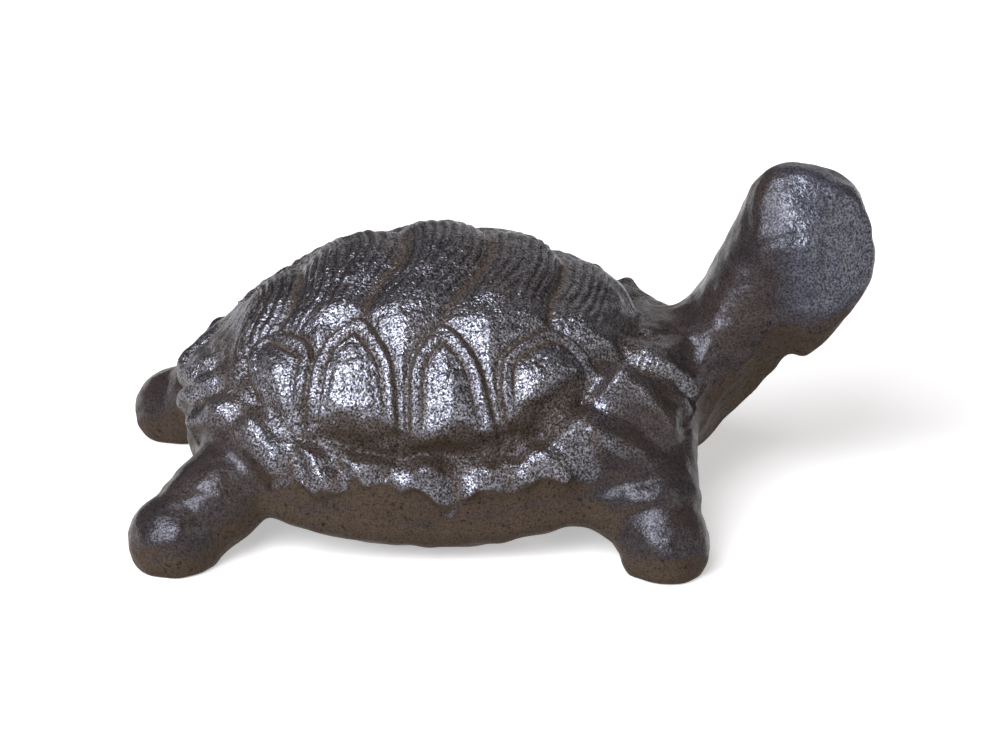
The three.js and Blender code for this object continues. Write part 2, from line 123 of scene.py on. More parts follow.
# A costal from its seam inwards: a thin frame, a channel and the raised middle, as distance in and height
CHANNEL_IN = 3.7
COSTAL_PROFILE_IN = [0, 1.2, 2.2, CHANNEL_IN, 5.2, 8, 14]
COSTAL_PROFILE_UP = [-0.7, 0.4, 0.35, -0.3, 0.35, 1.2, 1.9]
# Ring grooves in a costal: they fade in from the seam and out towards the middle
RING_PITCH = 2
RING_DEPTH = 0.15
RING_FADE_IN = 2
RING_REACH = 5
RING_FADE_OUT = 4
# Spine plates: how they swell, their growth grooves and the low ridge along the crown
SPINE_SWELL = 1.5
SPINE_REACH = 8
GROWTH_PITCH = 2.3
GROWTH_DEPTH = 0.22
GROWTH_REACH = 11
GROWTH_FADE_IN = 2
GROWTH_OUT = 16
GROWTH_OUT_FADE = 10
SPINE_RIDGE = 2.6
SPINE_RIDGE_WIDTH = 18
SPINE_RIDGE_DROP = 35
SPINE_RIDGE_FADE = 20
# A marginal from the waist down, as distance and height, its lumps, and how far it sinks at its seams
MARGINAL_PROFILE_DOWN = [0, 3, 8, 16]
MARGINAL_PROFILE_UP = [-1.0, 1.7, 2.1, 1.3]
TAIL_PROFILE_UP = [-0.2, 0.2, 1.4, 2.8]
MARGINAL_LUMPS = 1.4
MARGINAL_LUMP_PITCH = 8.5
MARGINAL_LUMP_FADE = 3
MARGINAL_REACH = 5.5
MARGINAL_SINK = 2.1
REAR_SINK = 0.5
REAR_SINK_FROM = 125
REAR_SINK_OVER = 15
MARGINAL_EDGE_WIDTH = 3
MARGINAL_EDGE_WOBBLE = 1.1
MARGINAL_EDGE_PITCH = 6
# Towards the tail end the plates lie calmer: from and to which bearing, and by which share
TAIL_BEARING = (135, 160)
TAIL_CALM = 0.75
# Seams and the waist, which is shallower at both ends of the shell and wanders a little
SEAM_DEPTH = 0.7
SEAM_WIDTH = 1.5
WAIST_DEPTH = 1.5
WAIST_WIDTH = 4
WAIST_END_SHARE = 0.3
WAIST_LEVEL = -0.9
WAIST_REACH = 9
WAIST_PITCH = 14
WAIST_WOBBLE = 1.1
WAIST_WOBBLE_PITCH = 7
WOBBLE = 0.7
WOBBLE_PITCH = 16
LEAN_HEIGHT = 9
# Brown tint in the seams and in the costals' channels, and painted shade in a band along the waist, which is
# widest on the flanks
SEAM_TINT = 0.75
CHANNEL_TINT = 0.8
CHANNEL_ABOVE_WAIST = 6
CHANNEL_FADE = 6
WAIST_SHADE_TINT = 0.85
WAIST_SHADE_DARK = 0.55
WAIST_BAND = 5
WAIST_BAND_AT_ENDS = 2
WAIST_BAND_BELOW = 2
WAIST_BAND_FADE_ABOVE = 3
WAIST_BAND_FADE_BELOW = 2
WAIST_BAND_END_SHARE = 0.5
FLANK_FROM = 0.75
FLANK_OVER = 0.2
# Where the bright part of the marginals begins below the waist
EDGING_FROM = 2
EDGING_OVER = 3

# Belly bowl, which curves up towards the legs
BELLY_FLOOR = belly_low[2]
BELLY_ROCKER = 7
BELLY_FRONT_REACH = 46
BELLY_REAR_REACH = 62
BELLY_SQUARENESS = 4
BELLY_WALL = 5.5
SCREW_RECESS_CLEARANCE = 0.3

# Legs
LEG_RADII = {"front": (13.5, 12.4, 10.5, 10.5), "rear": (11, 11.2, 10.2, 10.7)}
LEG_SHARES = (0, 0.5, 0.8, 1)
LEG_ROOT_RISE = 3
FOOT_HEIGHT = 5.8
FOOT_OUT = 1
FRONT_FOOT_SETBACK = 13
FRONT_FOOT_X = SHELL_X + HALF_LENGTH - FRONT_FOOT_SETBACK
SOLE_ROUNDING = 0.8

# Neck and head ribs: top and bottom point of the side outline, forward of the shell's front end and up from
# the soles, the width there, how square the rib is above, and where its lower corners are cut
NECK_RIBS = [
    ((-14, 43), (-14, 16), 32, 2.2, 1.4),
    ((-3.5, 48.5), (-2, 13.2), 32, 2.2, 1.38),
    ((3, 60), (5.8, 20), 27, 2.2, 1.33),
    ((7.9, 71.5), (14.9, 30), 25.5, 2.2, 1.33),
    ((10.9, 79), (20, 37.2), 27, 2.4, 1.45),
    ((15.8, 83.6), (24.5, 37.6), 29, 2.7, 1.6),
    ((22.3, 84.1), (28.9, 41.9), 30, 2.9, 1.65),
    ((29, 82.4), (33, 47.5), 28, 2.9, 1.65),
    ((34.2, 78.8), (36.2, 52.3), 25.5, 2.7, 1.65),
    ((37.4, 73.5), (38.6, 56), 21, 2.5, 1.65),
    ((39.2, 66.5), (39.6, 60), 13, 2.2, 1.65),
]
LOWER_SQUARENESS = 3.6
CHAMFER_ROUNDING = 0.03
RIBS_BETWEEN = 6
LEAST_RIB_HALF = 0.4
NECK_CORE_DEPTH = 20
# Flat places on the head, on both sides: a point forward of the shell's front end, out to the side and up
# from the soles, the way the flat faces there and how soft its edge is. In order: cheek, upper snout,
# side of the snout, top.
HEAD_FLATS = [
    ((20, 10.3, 75.5), (-0.26, 0.79, 0.55), 3),
    ((32, 10, 74.5), (0.08, 0.82, 0.56), 2),
    ((31, 13, 60), (0.42, 0.88, 0.22), 2),
    ((25, 0, 83.4), (0.42, 0, 0.9), 1.4),
]
# Where the head begins, forward of the shell's front end and up from the soles
HEAD_FROM = (12, 45)
HEAD_FADE = 10
# The hollow between cheek and snout: middle forward and up, half its breadth and height, and its depth
EYE_HOLLOW = (27.3, 64, 2.8, 9, 1.3)

# How softly the forms run into each other
FRONT_LEG_FILLET = 10
REAR_LEG_FILLET = 2
NECK_FILLET = 6
RIM_FILLET = 0.5

# Castings meet along these lines: each runs a little way in under its neighbour
LAP = 2.5
LAP_SLOPE = 0.12

# Folds where the shell's front edge runs out to neck and leg, on both sides: points forward of the shell's
# middle, out and up, then height and half width
FOLDS = [
    ([(37.9, 31.1, 42.2), (44.1, 31.6, 37.9), (49.3, 33, 31.1)], 2.8, 3.2),
    ([(45.2, 18.8, 45.9), (54, 14, 43)], 1.2, 2.6),
    ([(26.4, 39.5, 35.5), (34.2, 39.6, 30.9), (42.6, 38.4, 26.4)], 1.9, 3.6),
]
# The valley beside a fold: its depth as a share of the fold's height, its distance and half width as
# shares of the fold's half width
FOLD_VALLEY = 0.4
FOLD_VALLEY_OUT = 2
FOLD_VALLEY_WIDTH = 0.8

# Unevenness of the cast skin
LUMP_DEPTH = 0.2
LUMP_PITCH = 9
DENT_DEPTH = 0.12
DENT_PITCH = 4
RIPPLE_WAVES = 7
SEEDS = {
    "forward": 1, "out": 2, "waist": 3, "edge": 4,
    "lumps": 5, "dents": 6, "marginals": 7, "waist_wobble": 8,
}

# The shell is bare where no limb comes near it
BARE_FROM = 1
BARE_OVER = 6

# How rough the iron is, and how brown slopes that face down are painted as warm floor bounce, by place and
# by how far up a slope faces, from -1 to 1
LIMB_ROUGHNESS = 0.06
LIMB_FROM = 0.1
LIMB_OVER = 0.5
FOLD_ROUGHNESS = 0.7
FOLD_ROUGH_HEIGHT = 2
HEAD_ROUGHNESS = 0.4
UNDER_BOUNCE_TINT = 0.95
UNDER_FROM = 0.1
UNDER_OVER = 0.4
LOWER_FROM = 0.4
LOWER_OVER = 0.6
POLISH_FROM = -0.15
POLISH_TO = 0.45
MARGINAL_POLISH = 0.5

# The skin: its cell, how deep below the surface carving still reaches, and how far it may pass the box
SKIN_STEP = 1.15
SKIN_DEPTH = 2
SKIN_PAST_BOX = 3 * SKIN_STEP
GRID_PARTS = 8
LEAST_SLOPE = 0.2
FAR = 40.0
TINY = 1e-6


def smooth(value):
    t = np.clip(value, 0, 1)
    return t * t * (3 - 2 * t)


def ease(value, start, over):
    """0 up to start, 1 from start + over on, with a soft step between."""
    return smooth((value - start) / over)


def melt(a, b, reach):
    """Union of two distance fields with a fillet."""
    h = np.clip(0.5 + 0.5 * (b - a) / reach, 0, 1)
    return b + (a - b) * h - reach * h * (1 - h)


def pare(a, b, reach):
    """Intersection of two distance fields with a rounded edge."""
    return -melt(-a, -b, reach)


def rim_lift(u):
    return np.where(u > 0, FRONT_RIM_LIFT * np.abs(u) ** 3, REAR_RIM_LIFT * u ** 4)


def plan_share(x, y):
    """How far out points lie in the shell's rounded oblong plan, 1 at its edge."""
    m = PLAN_SQUARENESS
    return np.maximum((np.abs(x) ** m + np.abs(y) ** m) ** (1 / m), TINY)


def plan_slope(u, v, half_length, half_width):
    """How fast the plan share grows per millimetre."""
    power = PLAN_SQUARENESS - 1
    return np.hypot(np.abs(u) ** power / half_length, np.abs(v) ** power / half_width)


class ShellPlace:
    """Where points lie on the shell: plan share, bearing, drop from the crown and unrolled millimetres."""

    def __init__(self, points):
        x = (points[:, 0] - SHELL_X) / HALF_LENGTH
        y = points[:, 1] / HALF_WIDTH
        self.share = plan_share(x, y)
        self.u = x / self.share
        self.v = y / self.share
        self.plan_slope = plan_slope(self.u, self.v, HALF_LENGTH, HALF_WIDTH)
        self.rim = RIM + rim_lift(self.u) * np.minimum(self.share, 1) ** 4
        lean = OVERHANG * (1 - smooth((points[:, 2] - self.rim) / LEAN_HEIGHT))
        self.share = self.share + lean / HALF_WIDTH
        above = np.maximum(points[:, 2] - self.rim, 0) / RISE
        steepness = SIDE_STEEPNESS + np.where(self.u > 0, FRONT_STEEPNESS, REAR_STEEPNESS) * self.u ** 2
        self.height = above ** (0.5 / steepness)
        self.reach = np.hypot(self.share, self.height)
        self.drop = np.arctan2(self.share, self.height)
        self.bearing = np.arctan2(np.abs(y), x)
        self.forward = HALF_LENGTH * x / self.share * self.drop
        self.out = HALF_WIDTH * np.abs(y) / self.share * self.drop


def dome_field(points):
    place = ShellPlace(points)
    slope = np.hypot(place.share * place.plan_slope, place.height / RISE) / place.reach
    return np.maximum((place.reach - 1) / slope, RIM + rim_lift(place.u) - points[:, 2])


def bowl_field(points):
    x = (points[:, 0] - SHELL_X) / BELLY_HALF_LENGTH
    y = points[:, 1] / BELLY_HALF_WIDTH
    p = BELLY_SQUARENESS
    share = plan_share(x, y)
    u = x / share
    v = y / share
    top = RIM + rim_lift(u)
    reach = np.where(x > 0, BELLY_FRONT_REACH, BELLY_REAR_REACH)
    rocker = np.minimum(np.abs(points[:, 0] - SHELL_X) / reach, 1)
    floor = BELLY_FLOOR + BELLY_ROCKER * (1 - np.cos(np.pi * rocker)) / 2
    depth = np.maximum(top - points[:, 2], 0) / (top - floor)
    reach = (share ** p + depth ** p) ** (1 / p)
    outward = (share / reach) ** (p - 1) * plan_slope(u, v, BELLY_HALF_LENGTH, BELLY_HALF_WIDTH)
    slope = np.hypot(outward, (depth / reach) ** (p - 1) / (top - floor))
    return np.maximum((reach - 1) / np.maximum(slope, 1e-3), points[:, 2] - top)


def curve_through(knots, between):
    """A smooth curve through rows of numbers, with a few rows added between each two."""
    knots = np.asarray(knots, float)
    padded = np.vstack([2 * knots[0] - knots[1], knots, 2 * knots[-1] - knots[-2]])
    rows = []
    for a, b, c, d in zip(padded, padded[1:], padded[2:], padded[3:]):
        for t in np.arange(between) / between:
            bend = 2 * a - 5 * b + 4 * c - d
            turn = 3 * b - a - 3 * c + d
            rows.append(0.5 * (2 * b + (c - a) * t + bend * t * t + turn * t ** 3))
    rows.append(knots[-1])
    return np.array(rows)


neck_rows = curve_through([(*top, *bottom, *rest) for top, bottom, *rest in NECK_RIBS], RIBS_BETWEEN)
NECK_START_X = SHELL_X + HALF_LENGTH
neck_tops = neck_rows[:, 0:2] + (NECK_START_X, 0)
neck_bottoms = neck_rows[:, 2:4] + (NECK_START_X, 0)
neck_centres = (neck_tops + neck_bottoms) / 2
neck_heights = np.linalg.norm(neck_tops - neck_bottoms, axis=1)
neck_halves = np.maximum(neck_heights / 2, LEAST_RIB_HALF)
neck_ups = (neck_tops - neck_bottoms) / neck_heights[:, None]
neck_sides = np.maximum(neck_rows[:, 4] / 2, LEAST_RIB_HALF)
neck_squareness = neck_rows[:, 5]
neck_chamfers = neck_rows[:, 6]
neck_aheads = np.stack([neck_ups[:, 1], -neck_ups[:, 0]], axis=1)


def neck_field(points):
    flat = points[:, [0, 2]]
    ahead = flat @ neck_aheads.T - np.sum(neck_centres * neck_aheads, axis=1)
    row = np.clip(np.sum(ahead > 0, axis=1) - 1, 0, len(neck_rows) - 2)
    here = np.take_along_axis(ahead, row[:, None], 1)[:, 0]
    beyond = np.take_along_axis(ahead, row[:, None] + 1, 1)[:, 0]
    share = np.clip(here / np.maximum(here - beyond, TINY), 0, 1)

    def between(values):
        weight = share if values.ndim == 1 else share[:, None]
        return values[row] * (1 - weight) + values[row + 1] * weight

    offset = flat - between(neck_centres)
    up = np.sum(offset * between(neck_ups), axis=1)
    q = np.where(up > 0, between(neck_squareness), LOWER_SQUARENESS)
    tall = np.abs(up / between(neck_halves))
    broad = np.abs(points[:, 1] / between(neck_sides))
    reach = (tall ** q + broad ** q) ** (1 / q)
    chamfered = pare(reach, (tall + broad) / between(neck_chamfers), CHAMFER_ROUNDING)
    reach = np.where(up > 0, reach, chamfered)
    radius = np.hypot(up, points[:, 1]) / np.maximum(reach, 1e-3)
    around = np.maximum((reach - 1) * np.maximum(radius, 1), -NECK_CORE_DEPTH)
    past_ends = np.maximum(ahead[:, -1], -ahead[:, 0])
    solid = np.where(past_ends > 0, np.hypot(np.maximum(around, 0), past_ends), around)
    folded = np.stack([points[:, 0] - NECK_START_X, np.abs(points[:, 1]), points[:, 2]], axis=1)
    for spot, way, rounding in HEAD_FLATS:
        way = np.array(way) / np.linalg.norm(way)
        solid = pare(solid, (folded - spot) @ way, rounding)
    return solid


def limb_field(points, knots, radii):
    best = np.full(len(points), FAR)
    for start, end, r0, r1 in zip(knots, knots[1:], radii, radii[1:]):
        along = end - start
        t = np.clip((points - start) @ along / (along @ along), 0, 1)
        gap = np.linalg.norm(points - start - t[:, None] * along, axis=1) - (r0 + (r1 - r0) * t)
        best = np.minimum(best, gap)
    return best


def leg_knots(corner):
    """From the washer inside the wall, over the knee, to the foot."""
    low, high = box_mm(f"{corner}_leg")
    washer_low, washer_high = box_mm(f"leg_washer_{corner}")
    root = (washer_low + washer_high) / 2 + (0, 0, LEG_ROOT_RISE)
    end, side = corner.split("_")
    foot_radius = LEG_RADII[end][-1]
    foot_x = FRONT_FOOT_X if end == "front" else low[0] + foot_radius
    out = 1 if side == "left" else -1
    foot_y = out * (max(high[1], -low[1]) - foot_radius + FOOT_OUT)
    foot = np.array([foot_x, foot_y, FOOT_HEIGHT])
    return [root + share * (foot - root) for share in LEG_SHARES]


leg_paths = {corner: leg_knots(corner) for corner in CORNERS}


def leg_field(points, corner):
    limb = limb_field(points, leg_paths[corner], LEG_RADII[corner.split("_")[0]])
    return pare(limb, -points[:, 2], SOLE_ROUNDING)


def near_only(points, low, high, field):
    """The field close to a box, and a large distance away from it."""
    near = np.all((points > low - FAR / 2) & (points < high + FAR / 2), axis=1)
    values = np.full(len(points), FAR)
    if near.any():
        values[near] = field(points[near])
    return values


def form_fields(points):
    forms = {"carapace": dome_field(points), "underbody": bowl_field(points)}
    forms["head_and_neck"] = near_only(points, *box_mm("head_and_neck"), neck_field)
    for corner in CORNERS:
        node = f"{corner}_leg"
        forms[node] = near_only(points, *box_mm(node), lambda p, c=corner: leg_field(p, c))
    return forms


def figure_field(forms):
    """All forms melted into one figure."""
    whole = melt(forms["carapace"], forms["underbody"], RIM_FILLET)
    for corner in CORNERS:
        fillet = FRONT_LEG_FILLET if corner.startswith("front") else REAR_LEG_FILLET
        whole = melt(whole, forms[f"{corner}_leg"], fillet)
    return melt(whole, forms["head_and_neck"], NECK_FILLET)


def beyond_own(forms, node):
    """How far a point lies from a casting's own share of the figure."""
    rest = np.minimum.reduce([field for name, field in forms.items() if name != node])
    return (forms[node] - rest) / 2


belly_screw_boxes = [box_mm(f"belly_screw_{corner}") for corner in CORNERS]


def screw_holes(points):
    """Recesses for the belly screws, as one field."""
    best = np.full(len(points), FAR)
    for low, high in belly_screw_boxes:
        centre = (low + high) / 2
        radius = (high[0] - low[0]) / 2 + SCREW_RECESS_CLEARANCE
        best = np.minimum(best, np.hypot(points[:, 0] - centre[0], points[:, 1] - centre[1]) - radius)
    return best


WALLS = {"carapace": SHELL_WALL, "underbody": BELLY_WALL}


def casting_field(points, node):
    forms = form_fields(points)
    whole = figure_field(forms)
    beyond = beyond_own(forms, node)
    solid = np.maximum(whole + LAP_SLOPE * np.maximum(beyond, 0), beyond - LAP)
    if node in WALLS:
        solid = np.maximum(solid, -(whole + WALLS[node]))
    if node == "underbody":
        solid = np.maximum(solid, -screw_holes(points))
    return solid


def slope_of(field, points, step=0.05):
    slopes = []
    for axis in range(3):
        shift = np.zeros(3)
        shift[axis] = step
        slopes.append((field(points + shift) - field(points - shift)) / (2 * step))
    return np.stack(slopes, axis=1)


def settle(points, field, rounds, limit):
    """Moves points onto the zero surface of a field."""
    for _ in range(rounds):
        slope = slope_of(field, points)
        size = np.maximum(np.linalg.norm(slope, axis=1), LEAST_SLOPE)
        move = np.clip(field(points) / size, -limit, limit)
        points = points - slope * (move / size)[:, None]
    return points


def skin_of(field, low, high, step):
    """A closed skin of quads around the negative part of a field, by surface nets."""
    axes = [np.arange(a, b + step, step) for a, b in zip(low, high)]
    shape = tuple(len(axis) for axis in axes)
    grid = np.stack(np.meshgrid(*axes, indexing="ij"), axis=-1).reshape(-1, 3)
    values = np.concatenate([field(part) for part in np.array_split(grid, GRID_PARTS)]).reshape(shape)
    inside = values < 0
    corners = [(i, j, k) for i in (0, 1) for j in (0, 1) for k in (0, 1)]
    cells = tuple(n - 1 for n in shape)

    def at(array, corner):
        return array[tuple(slice(c, c + n) for c, n in zip(corner, cells))]

    count = sum(at(inside, corner).astype(int) for corner in corners)
    active = (count > 0) & (count < 8)
    index = np.full(cells, -1)
    index[active] = np.arange(active.sum())
    total = np.zeros((active.sum(), 3))
    crossings = np.zeros(active.sum())
    for a in corners:
        for b in corners:
            if sum(b) - sum(a) != 1 or sum(abs(i - j) for i, j in zip(a, b)) != 1:
                continue
            va = at(values, a)[active]
            vb = at(values, b)[active]
            crosses = (va < 0) != (vb < 0)
            t = np.where(crosses, va / np.where(crosses, va - vb, 1), 0)
            spot = np.array(a) + t[:, None] * (np.array(b) - np.array(a))
            total += np.where(crosses[:, None], spot, 0)
            crossings += crosses
    points = np.array(low) + step * (np.argwhere(active) + total / crossings[:, None])
    quads = []
    for axis in range(3):
        side, other = [i for i in range(3) if i != axis]
        ahead = tuple(slice(1, None) if i == axis else slice(1, -1) for i in range(3))
        behind = tuple(slice(0, -1) if i == axis else slice(1, -1) for i in range(3))
        spots = np.argwhere(inside[behind] != inside[ahead])
        spots = spots + [0 if i == axis else 1 for i in range(3)]
        step_a = np.eye(3, dtype=int)[side]
        step_b = np.eye(3, dtype=int)[other]
        ring = [spots, spots - step_a, spots - step_a - step_b, spots - step_b]
        quad = np.stack([index[tuple(cell.T)] for cell in ring], axis=1)
        leaving = inside[tuple(spots.T)]
        if axis == 1:
            leaving = ~leaving
        quads.append(np.where(leaving[:, None], quad, quad[:, ::-1]))
    return points, np.concatenate(quads)


def main_island(points, quads):
    """Keeps the largest connected piece of a skin."""
    label = np.arange(len(points))
    while True:
        lowest = label.copy()
        np.minimum.at(lowest, quads, np.broadcast_to(label[quads].min(axis=1)[:, None], quads.shape))
        lowest = lowest[lowest]
        if (lowest == label).all():
            break
        label = lowest
    kept = label == np.bincount(label).argmax()
    place = np.cumsum(kept) - 1
    return points[kept], place[quads[kept[quads[:, 0]]]]


def split_quads(points, quads):
    """Each quad becomes four."""
    edges = np.sort(np.stack([quads, np.roll(quads, -1, axis=1)], axis=2).reshape(-1, 2), axis=1)
    keys, which = np.unique(edges[:, 0] * len(points) + edges[:, 1], return_inverse=True)
    middles = (points[keys // len(points)] + points[keys % len(points)]) / 2
    edge_of = which.reshape(-1, 4) + len(points)
    centre_of = np.arange(len(quads)) + len(points) + len(middles)
    centres = points[quads].mean(axis=1)
    small = [
        np.stack([quads[:, k], edge_of[:, k], centre_of, edge_of[:, k - 1]], axis=1) for k in range(4)
    ]
    return np.concatenate([points, middles, centres]), np.concatenate(small)


def distance_to_line(spots, line):
    """Distance to a line of points, on the unrolled shell or in space."""
    best = np.full(len(spots), FAR)
    for start, end in zip(line, line[1:]):
        along = end - start
        t = np.clip((spots - start) @ along / (along @ along), 0, 1)
        best = np.minimum(best, np.linalg.norm(spots - start - t[:, None] * along, axis=1))
    return best


def within(spots, outline):
    """Whether spots lie inside a closed outline."""
    inside = np.zeros(len(spots), bool)
    for (x0, y0), (x1, y1) in zip(outline, np.roll(outline, -1, axis=0)):
        spans = (y0 > spots[:, 1]) != (y1 > spots[:, 1])
        if y0 != y1:
            inside ^= spans & (spots[:, 0] < x0 + (x1 - x0) * (spots[:, 1] - y0) / (y1 - y0))
    return inside


def ripple(points, pitch, seed):
    """Slow waves without a visible pattern, between about -1 and 1."""
    draw = np.random.default_rng(seed)
    total = np.zeros(len(points))
    for _ in range(RIPPLE_WAVES):
        way = draw.normal(size=3)
        way *= 2 * np.pi / (pitch * draw.uniform(0.7, 1.5) * np.linalg.norm(way))
        total += np.sin(points @ way + draw.uniform(0, 2 * np.pi))
    return 2 * total / RIPPLE_WAVES


costal_curves = [curve_through(outline, 5) for outline in COSTALS]
vertebral_curves = [curve_through(seam, 4) for seam in VERTEBRAL_SEAMS]


class ScutePlace:
    """Which scute points lie on, and how far they lie from its seams and from the waist."""

    def __init__(self, points):
        place = ShellPlace(points)
        self.out = place.out + WOBBLE * ripple(points, WOBBLE_PITCH, SEEDS["out"])
        self.bearing = np.degrees(place.bearing)
        self.sideways = np.sin(place.bearing)
        self.drop = np.degrees(place.drop)
        self.height = points[:, 2]
        self.rim = RIM + rim_lift(place.u)
        first, last = TAIL_BEARING
        self.tail_end = ease(self.bearing, first, last - first)
        self.calm = 1 - TAIL_CALM * self.tail_end

        waist = np.radians(np.interp(self.bearing, WAIST_BEARING, WAIST_DROP))
        self.below_waist = (place.drop - waist) * GIRTH_RADIUS
        self.below_waist += WOBBLE * ripple(points, WAIST_PITCH, SEEDS["waist"])
        self.below_waist += WAIST_WOBBLE * ripple(points, WAIST_WOBBLE_PITCH, SEEDS["waist_wobble"])

        forward = place.forward + WOBBLE * ripple(points, WOBBLE_PITCH, SEEDS["forward"])
        spots = np.stack([forward, self.out], axis=1)
        self.to_costal = np.minimum.reduce([distance_to_line(spots, curve) for curve in costal_curves])
        self.to_vertebral = np.minimum.reduce([distance_to_line(spots, curve) for curve in vertebral_curves])
        self.to_marginal = self.marginal_seam_distance(place)
        in_costal = np.any([within(spots, curve) for curve in costal_curves], axis=0)
        self.on_marginal = self.below_waist > 0
        self.on_costal = in_costal & ~self.on_marginal
        self.on_vertebral = ~in_costal & ~self.on_marginal

        to_seam = np.where(in_costal, self.to_costal, np.minimum(self.to_costal, self.to_vertebral))
        self.to_seam = np.where(self.on_marginal, self.to_marginal, to_seam)
        self.groove = np.exp(-(self.to_seam / SEAM_WIDTH) ** 2)

    def marginal_seam_distance(self, place):
        sweep = REAR_MARGINAL_SWEEP * ease(self.bearing, REAR_SWEEP_FROM, SWEEP_OVER)
        sweep -= FRONT_MARGINAL_SWEEP * ease(-self.bearing, -FRONT_SWEEP_FROM, SWEEP_OVER)
        swept = self.bearing - sweep * smooth(self.below_waist / SWEEP_DOWN)
        off_seam = np.radians(np.abs(swept[:, None] - np.array(MARGINAL_SEAMS))).min(axis=1)
        return off_seam * np.hypot(HALF_LENGTH * place.v, HALF_WIDTH * place.u)


def spine_relief(scutes):
    from_waist = np.abs(scutes.below_waist)
    swell = np.where(from_waist < scutes.to_seam, scutes.calm, 1)
    to_edge = np.minimum(scutes.to_seam, from_waist)
    return SPINE_SWELL * swell * (smooth(to_edge / SPINE_REACH) - 0.5) - SEAM_DEPTH * scutes.groove


def costal_relief(scutes):
    inward = scutes.to_costal
    ring = np.cos(2 * np.pi * inward / RING_PITCH)
    ring *= smooth(inward / RING_FADE_IN) * (1 - ease(inward, RING_REACH, RING_FADE_OUT))
    plate = np.interp(inward, COSTAL_PROFILE_IN, COSTAL_PROFILE_UP) - RING_DEPTH * ring
    return WAIST_LEVEL + (plate - WAIST_LEVEL) * smooth(-scutes.below_waist / WAIST_REACH)


def marginal_relief(points, scutes):
    down = scutes.below_waist
    sink = MARGINAL_SINK * (1 - smooth(scutes.to_marginal / MARGINAL_REACH)) * smooth(down / MARGINAL_REACH)
    sink *= 1 + REAR_SINK * ease(scutes.bearing, REAR_SINK_FROM, REAR_SINK_OVER)
    side = np.interp(down, MARGINAL_PROFILE_DOWN, MARGINAL_PROFILE_UP)
    tail = np.interp(down, MARGINAL_PROFILE_DOWN, TAIL_PROFILE_UP)
    lumps = ripple(points, MARGINAL_LUMP_PITCH, SEEDS["marginals"])
    lumps *= smooth(down / MARGINAL_LUMP_FADE) * scutes.calm
    return side + (tail - side) * scutes.tail_end - sink + MARGINAL_LUMPS * lumps


def growth_grooves(scutes):
    inward = scutes.to_vertebral
    growth = np.cos(2 * np.pi * inward / GROWTH_PITCH)
    growth *= smooth(inward / GROWTH_FADE_IN) * (1 - ease(inward, GROWTH_REACH, GROWTH_PITCH))
    return growth * scutes.on_vertebral * (1 - ease(scutes.out, GROWTH_OUT, GROWTH_OUT_FADE))


def scute_tint_and_shade(scutes, above_edge):
    """How brown the seams and channels are, and the painted shade along the waist: how brown and how dark
    that band is.
    """
    on_flank = ease(scutes.sideways, FLANK_FROM, FLANK_OVER)
    band_top = WAIST_BAND_AT_ENDS + (WAIST_BAND - WAIST_BAND_AT_ENDS) * on_flank
    # painted shade: the band is darkened where the costals curve in above the waist
    band = ease(scutes.below_waist, -band_top - WAIST_BAND_FADE_ABOVE, WAIST_BAND_FADE_ABOVE)
    band *= 1 - ease(scutes.below_waist, WAIST_BAND_BELOW, WAIST_BAND_FADE_BELOW)
    band *= (WAIST_BAND_END_SHARE + (1 - WAIST_BAND_END_SHARE) * on_flank) * above_edge
    channel = scutes.on_costal * np.exp(-(scutes.to_costal - CHANNEL_IN) ** 2)
    channel *= ease(-scutes.below_waist, CHANNEL_ABOVE_WAIST, CHANNEL_FADE)
    seams = scutes.groove * above_edge
    return np.maximum.reduce([SEAM_TINT * seams, WAIST_SHADE_TINT * band, CHANNEL_TINT * channel]), band


def scute_carving(points):
    """How far the carved shell stands out from the smooth one, and where its paint differs."""
    scutes = ScutePlace(points)
    upper = np.where(scutes.on_costal, costal_relief(scutes), spine_relief(scutes))
    stand = np.where(scutes.on_marginal, marginal_relief(points, scutes), upper)
    waist_share = WAIST_END_SHARE + (1 - WAIST_END_SHARE) * scutes.sideways
    stand -= WAIST_DEPTH * np.exp(-(scutes.below_waist / WAIST_WIDTH) ** 2) * waist_share * scutes.calm
    growth = growth_grooves(scutes)
    stand -= GROWTH_DEPTH * growth
    ridge = 1 - smooth(scutes.out / SPINE_RIDGE_WIDTH)
    stand += SPINE_RIDGE * ridge * (1 - ease(scutes.drop, SPINE_RIDGE_DROP, SPINE_RIDGE_FADE))

    edge_height = scutes.rim + np.interp(scutes.bearing, EDGE_BEARING, EDGE_RISE)
    edge_height += MARGINAL_EDGE_WOBBLE * ripple(points, MARGINAL_EDGE_PITCH, SEEDS["edge"])
    above_edge = ease(scutes.height, edge_height, MARGINAL_EDGE_WIDTH)
    recess, band = scute_tint_and_shade(scutes, above_edge)
    return stand * above_edge, {
        "recess": recess,
        "shell": above_edge,
        # painted shade in the growth grooves and along the waist
        "painted_groove_shade": np.maximum(growth, WAIST_SHADE_DARK * band),
        "marginal": ease(scutes.below_waist, EDGING_FROM, EDGING_OVER) * above_edge,
    }


def front_folds(points):
    """How far the folds stand out."""
    folded = np.stack([points[:, 0] - SHELL_X, np.abs(points[:, 1]), points[:, 2]], axis=1)
    total = np.zeros(len(points))
    for line, height, width in FOLDS:
        off = distance_to_line(folded, np.array(line)) / width
        valley = FOLD_VALLEY * np.exp(-((off - FOLD_VALLEY_OUT) / FOLD_VALLEY_WIDTH) ** 2)
        total += height * (np.exp(-off ** 2) - valley)
    return total


def eye_hollow(points):
    """How deep the hollow between cheek and snout is."""
    forward, up, breadth, height, depth = EYE_HOLLOW
    along = (points[:, 0] - NECK_START_X - forward) / breadth
    tall = (points[:, 2] - up) / height
    return depth * np.exp(-along ** 2 - tall ** 4)


